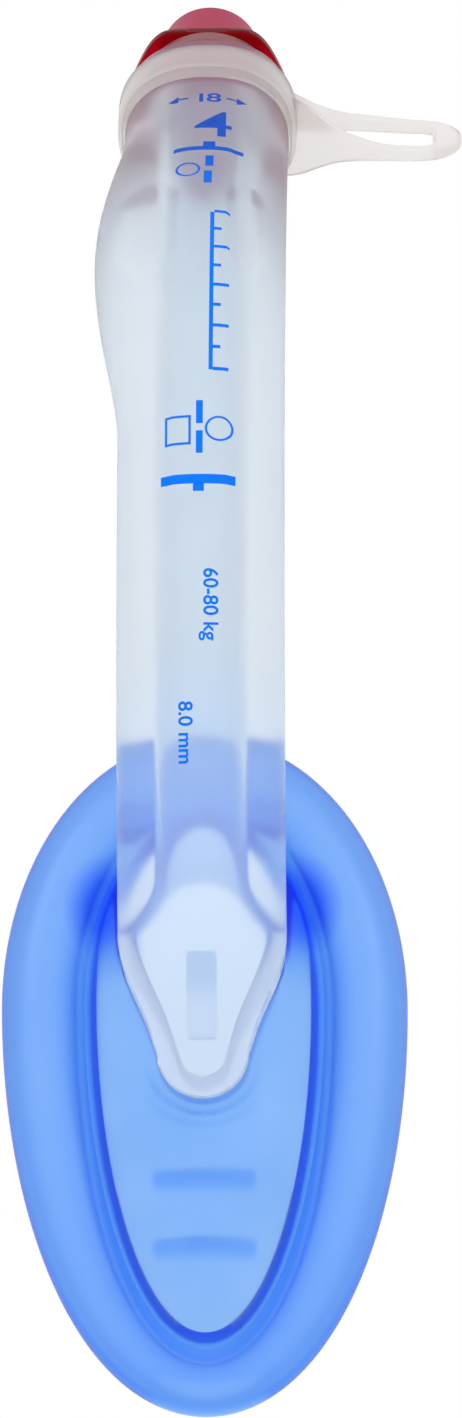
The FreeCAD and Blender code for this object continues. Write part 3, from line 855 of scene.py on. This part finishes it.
class AIRWAY_OT_tether(bpy.types.Operator):
    """Milky band on the tube, ring on the connector's neck and folded strap between them, in one moulding"""
    bl_idname = "airway.tether"
    bl_label = "Tether"

    def execute(self, context):
        t = sizes("tube")
        c = sizes("connector")
        end = tube_lengths()["end"] / MM
        wall = c.band_wall / MM
        band_end = end - c.band_setback / MM
        band_start = band_end - c.band_length / MM
        neck_start = end + SEAT_GAP / MM
        neck_end = neck_start + NECK_RING_LENGTH / MM
        band = tether_band("tether_moulding", [
            (band_start - 2.6, 0.1), (band_start - 2.6, 0.3), (band_start - 2.2, 0.55), (band_start + 0.6, 0.6),
            (band_start + 0.9, 0.95), (band_start + 1.6, wall), (band_end - 1.0, wall),
            (band_end - 0.3, wall - 0.25), (band_end, wall - 0.7), (band_end, 0.1),
        ])
        a = turns(96)
        ring_s = np.array([neck_start, neck_start, neck_start + 0.2, neck_start + 0.7, neck_end - 0.7,
                           neck_end - 0.2, neck_end, neck_end])[:, None] * MM
        ring_r = np.array([7.0, 10.2, 10.6, 10.8, 10.8, 10.6, 10.2, 7.0])[:, None] * MM
        neck = grid_piece("neck", placed(capped(along(ring_s, ring_r * np.cos(a), ring_r * np.sin(a)))))

        near, far = (band_start + band_end) / 2, (neck_start + neck_end) / 2
        thick = c.strap_thickness / MM
        bend = (far - near) / 2
        bend_x = c.strap_reach / MM - bend - thick / 2
        straight = np.linspace(0, bend_x, 60)
        turn = np.linspace(-math.pi / 2, math.pi / 2, 42)[1:-1]
        x = np.concatenate([straight, bend_x + bend * np.cos(turn), straight[::-1]])
        s = np.concatenate([np.full(60, near), (near + far) / 2 + bend * np.sin(turn), np.full(60, far)])
        across = np.concatenate([np.zeros(60), np.cos(turn), np.zeros(60)])
        lengthwise = np.concatenate([-np.ones(60), np.sin(turn), np.ones(60)])
        # Edges of the two strands, towards the back, at distances from the tube's axis
        near_low = np.interp(straight, [0, 12.9, 18, 22, 30], [-6.5, -8.5, -6.4, -5.8, -6.0])
        near_high = np.interp(straight, [0, 12.3, 14.8, 20.5, 26.6, 32], [4.6, 5.0, 3.3, -1.4, -3.65, -3.9])
        far_low = np.interp(straight, [0, 12, 20, 32], [-2.5, -4.6, -4.9, -5.6])
        far_high = np.interp(straight, [0, 12, 14.8, 20, 26.6, 32], [4.2, 1.8, -0.3, -2.3, -3.1, -3.8])
        fold = np.linspace(0, 1, 40)
        low = softened(np.concatenate([near_low, -6.0 + 0.4 * fold, far_low[::-1]]), 9)
        high = softened(np.concatenate([near_high, -3.9 + 0.1 * fold, far_high[::-1]]), 9)
        swell = across ** 2 * 1.3
        v = turns(40)
        out = (thick / 2 + swell)[:, None] * rounded(np.cos(v)) - swell[:, None]
        strap_x = x[:, None] + across[:, None] * out
        strap_s = s[:, None] + lengthwise[:, None] * out
        strap_b = ((low + high) / 2)[:, None] + ((high - low) / 2)[:, None] * rounded(np.sin(v))
        strap = grid_piece("strap", placed(capped(along(strap_s * MM, strap_x * MM, strap_b * MM))))

        hole = tether_band("hole", [(band_start - 3, 0.05), (band_end + 2.5, 0.05)])
        combine(band, strap, "UNION")
        combine(band, hole, "DIFFERENCE")
        combine(band, neck, "UNION")
        clear = tube_bore(c.neck / 2 + CLOSE_FIT, end * MM + CLOSE_FIT, (end + 6) * MM, "clear")
        combine(band, clear, "DIFFERENCE")
        tidy(band)
        crease_shading(band)
        dress(band, milky_silicone())
        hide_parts("tether")
        start, stop = placed(along(np.array([near + 1, neck_start]) * MM, 0.0, 0.0))
        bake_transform(band)
        return {"FINISHED"}


def flat_text(words, height, weight, spacing=1.0):
    """Flat mesh points and faces of the words, centred, with capitals of the height and strokes thickened."""
    curve = bpy.data.curves.new("words", "FONT")
    curve.body = words
    # A capital letter of the built-in font is 0.69 of its size
    curve.size = height / 0.69
    curve.space_character = spacing
    curve.offset = weight
    curve.align_x = "CENTER"
    curve.align_y = "CENTER"
    curve.resolution_u = 6
    holder = bpy.data.objects.new("words", curve)
    bpy.context.scene.collection.objects.link(holder)
    bpy.context.view_layer.update()
    mesh = bpy.data.meshes.new_from_object(holder.evaluated_get(bpy.context.evaluated_depsgraph_get()))
    bpy.data.objects.remove(holder)
    points = np.array([v.co[:2] for v in mesh.vertices])
    return points, [list(p.vertices) for p in mesh.polygons]


def flat_bar(x0, x1, y0, y1, arch=0.0):
    """Flat bar as a strip of quads, with its middle raised by the arch."""
    u = np.linspace(-1, 1, 25)
    x = (x0 + x1) / 2 + (x1 - x0) / 2 * u
    lift = arch * (1 - u * u)
    points = np.concatenate([np.stack([x, y0 + lift], axis=-1), np.stack([x, y1 + lift], axis=-1)])
    faces = [[i, i + 1, i + 26, i + 25] for i in range(24)]
    return points, faces


def flat_ring(x, y, outer, inner):
    """Flat ring about a point."""
    turn = turns(64)[0]
    circle = np.stack([np.cos(turn), np.sin(turn)], axis=-1)
    points = np.concatenate([circle * outer, circle * inner]) + np.array([x, y])
    faces = [[i, (i + 1) % 64, (i + 1) % 64 + 64, i + 64] for i in range(64)]
    return points, faces


def mark_shapes():
    """Every printed mark as flat points and faces, in millimetres across and along the tube's back."""
    shapes = []
    numbers = (("18", 0.4, 132.3, 3.3, 0.06, 0.8), ("4", 1.5, 122.2, 8.2, 0.04, 1.0))
    for words, x, s, height, weight, spacing in numbers:
        points, faces = flat_text(words, height, weight, spacing)
        shapes.append((points + np.array([x, s]), faces))
    for side in (-1, 1):
        shapes.append(flat_bar(0.4 + side * 2.9, 0.4 + side * 5.2, 132.2, 132.7))
        tip = np.array([[0.4 + side * 5.9, 132.45], [0.4 + side * 4.4, 133.7], [0.4 + side * 4.4, 131.2]])
        shapes.append((tip, [[0, 1, 2]]))
    scale = [(1.9, 3.0 if step % 2 else 4.2, 65.9 + 4 * step, 66.5 + 4 * step) for step in range(9)]
    square = [(-5.05, -1.25, 57.7, 58.1), (-5.05, -1.25, 53.2, 53.6), (-5.05, -4.7, 53.2, 58.1),
              (-1.6, -1.25, 53.2, 58.1)]
    for bar in (
        (-4.4, 6.0, 114.1, 115.2, 0.3), (0.0, 1.8, 114.6, 116.9), (0.4, 1.6, 109.8, 112.7),
        (0.2, 1.4, 105.3, 108.5), (1.3, 1.9, 66.0, 98.0), *scale, (-0.5, 0.5, 56.7, 60.6),
        (-0.5, 0.5, 51.8, 55.5), *square, (-5.6, 5.3, 46.9, 48.4), (-0.9, 0.7, 45.7, 47.4),
    ):
        shapes.append(flat_bar(*bar))
    for ring in ((-2.2, 109.0, 1.85, 1.5), (2.9, 55.9, 2.1, 1.75)):
        shapes.append(flat_ring(*ring))
    for words, x, s, height in (("60-80 kg", 1.6, 28.6, 2.1), ("8.0 mm", -2.1, 10.3, 2.0)):
        points, faces = flat_text(words, height, 0.05)
        shapes.append((np.stack([x + points[:, 1], s - points[:, 0]], axis=-1), faces))
    return shapes


class AIRWAY_OT_marks(bpy.types.Operator):
    """Blue printed marks on the tube's back: numbers, bars, a scale, rings and a square"""
    bl_idname = "airway.marks"
    bl_label = "Printed marks"

    def execute(self, context):
        work = bmesh.new()
        for points, faces in mark_shapes():
            made = [work.verts.new((x, y, 0.0)) for x, y in points]
            for face in faces:
                work.faces.new([made[i] for i in face])
        # Cut in to small faces, so that the film follows the tube's curve
        for axis, low, high, step in ((0, -6, 8, 0.6), (1, 0, 136, 1.0)):
            normal = (1, 0, 0) if axis == 0 else (0, 1, 0)
            for place in np.arange(low, high, step):
                at = (place, 0, 0) if axis == 0 else (0, place, 0)
                bmesh.ops.bisect_plane(work, geom=work.verts[:] + work.edges[:] + work.faces[:],
                                       plane_co=at, plane_no=normal)
        mesh = bpy.data.meshes.new("printed_marks")
        work.to_mesh(mesh)
        work.free()
        flat = np.empty(len(mesh.vertices) * 3)
        mesh.vertices.foreach_get("co", flat)
        flat = flat.reshape(-1, 3) * MM
        points = placed(along(flat[:, 1], flat[:, 0], midline_height(flat[:, 1], flat[:, 0]) + 0.04 * MM))
        mesh.vertices.foreach_set("co", points.reshape(-1))
        mesh.update()
        marks = bpy.data.objects.new("printed_marks", mesh)
        context.scene.collection.objects.link(marks)
        tidy(marks, 0.001 * MM)
        outwards(marks)
        dress(marks, blue_ink())
        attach(marks, "airway")
        return {"FINISHED"}


def outwards(obj):
    """Turns over any face that looks away from the tube's back, so that the whole film faces up."""
    work = bmesh.new()
    work.from_mesh(obj.data)
    for face in work.faces:
        if face.normal.z < 0:
            face.normal_flip()
    work.to_mesh(obj.data)
    work.free()


def seen_directly(tree):
    """1 for rays from the camera, in a reflection or through a clear piece, so that these see plain white."""
    rays = node(tree, "ShaderNodeLightPath")
    seen = rays.outputs["Is Camera Ray"]
    for kind in ("Is Glossy Ray", "Is Transmission Ray"):
        seen = node(tree, "ShaderNodeMath", links={0: seen, 1: rays.outputs[kind]}, operation="MAXIMUM").outputs[0]
    return seen


class AIRWAY_OT_stage(bpy.types.Operator):
    """White floor, soft light and the camera"""
    bl_idname = "airway.stage"
    bl_label = "Stage"

    def execute(self, context):
        scene = context.scene
        half_floor = 3.0
        corners = np.array([[-1, -1, 0], [1, -1, 0], [1, 1, 0], [-1, 1, 0]]) * half_floor
        floor = new_mesh("floor", corners, np.array([[0, 1, 2, 3]]))
        material, tree, _ = new_material("white_paper")
        paper = node(tree, "ShaderNodeBsdfDiffuse", {"Color": srgb("#F7F8FA")})
        glow = node(tree, "ShaderNodeEmission", {"Color": (1, 1, 1, 1), "Strength": 1.0})
        mix = node(tree, "ShaderNodeMixShader",
                   links={0: seen_directly(tree), 1: paper.outputs[0], 2: glow.outputs[0]})
        node(tree, "ShaderNodeOutputMaterial", links={"Surface": mix.outputs[0]})
        dress(floor, material)

        world = bpy.data.worlds.new("studio")
        scene.world = world
        world.use_nodes = True
        sky = world.node_tree
        sky.nodes.clear()
        dim = node(sky, "ShaderNodeBackground", {"Color": (1, 1, 1, 1), "Strength": 0.55})
        white = node(sky, "ShaderNodeBackground", {"Color": (1, 1, 1, 1), "Strength": 1.0})
        mix = node(sky, "ShaderNodeMixShader",
                   links={0: seen_directly(sky), 1: dim.outputs[0], 2: white.outputs[0]})
        node(sky, "ShaderNodeOutputWorld", links={"Surface": mix.outputs[0]})

        for name, place, size, power in (
            ("left_soft_box", (-0.55, 0.1, 0.6), 0.35, 2.2),
            ("right_soft_box", (0.6, 0.0, 0.65), 0.35, 2.2),
            ("top_soft_box", (0.0, 0.25, 0.9), 0.3, 2.0),
        ):
            lamp = bpy.data.lights.new(name, "AREA")
            lamp.size = size
            lamp.energy = power
            holder = bpy.data.objects.new(name, lamp)
            holder.location = place
            aim = Vector(np.array([0.0, 0.0, 0.03]) - np.array(place))
            holder.rotation_euler = aim.to_track_quat("-Z", "Y").to_euler()
            scene.collection.objects.link(holder)

        camera = bpy.data.cameras.new("camera")
        camera.sensor_fit = "VERTICAL"
        camera.sensor_height = 24.0
        camera.lens = 24.0 * CAMERA_FOCAL
        camera.clip_start = 0.01
        holder = bpy.data.objects.new("camera", camera)
        holder.location = CAMERA_PLACE
        holder.rotation_euler = CAMERA_TURN
        scene.collection.objects.link(holder)
        scene.camera = holder
        scene.view_settings.view_transform = "Standard"
        return {"FINISHED"}


# Camera, fitted to the photograph's view: place in metres, turn in radians, focal length over frame height
CAMERA_PLACE = (0.0432, -1.25889, 2.04321)
CAMERA_TURN = (0.552893, 0.0205335, 0.00187582)
CAMERA_FOCAL = 11.31

GROUPS = {"tube": TubeSizes, "mask": MaskSizes, "connector": ConnectorSizes, "finish": Finish}
OPERATORS = (AIRWAY_OT_stage, AIRWAY_OT_tube, AIRWAY_OT_cuff, AIRWAY_OT_plate, AIRWAY_OT_ramp,
             AIRWAY_OT_connector, AIRWAY_OT_tether, AIRWAY_OT_marks)


class AIRWAY_PT_panel(bpy.types.Panel):
    """Lists the operators and the sizes"""
    bl_label = "Laryngeal mask airway"
    bl_space_type = "VIEW_3D"
    bl_region_type = "UI"
    bl_category = "Airway"

    def draw(self, context):
        for operator in OPERATORS:
            self.layout.operator(operator.bl_idname)
        for name, group in GROUPS.items():
            box = self.layout.box()
            box.label(text=name.capitalize())
            for key in group.__annotations__:
                box.prop(sizes(name), key, text=key.replace("_", " ").capitalize())


def register():
    """Registers the property groups on the scene, then the operators and the panel."""
    for name, group in GROUPS.items():
        bpy.utils.register_class(group)
        setattr(bpy.types.Scene, "airway_" + name, PointerProperty(type=group))
    for made in (*OPERATORS, AIRWAY_PT_panel):
        bpy.utils.register_class(made)


def unregister():
    """Removes what register added, in the opposite order."""
    for made in reversed((*OPERATORS, AIRWAY_PT_panel)):
        bpy.utils.unregister_class(made)
    for name, group in GROUPS.items():
        delattr(bpy.types.Scene, "airway_" + name)
        bpy.utils.unregister_class(group)


def main():
    register()
    for operator in OPERATORS:
        group, action = operator.bl_idname.split(".")
        getattr(getattr(bpy.ops, group), action)()


if __name__ == "__main__":
    main()
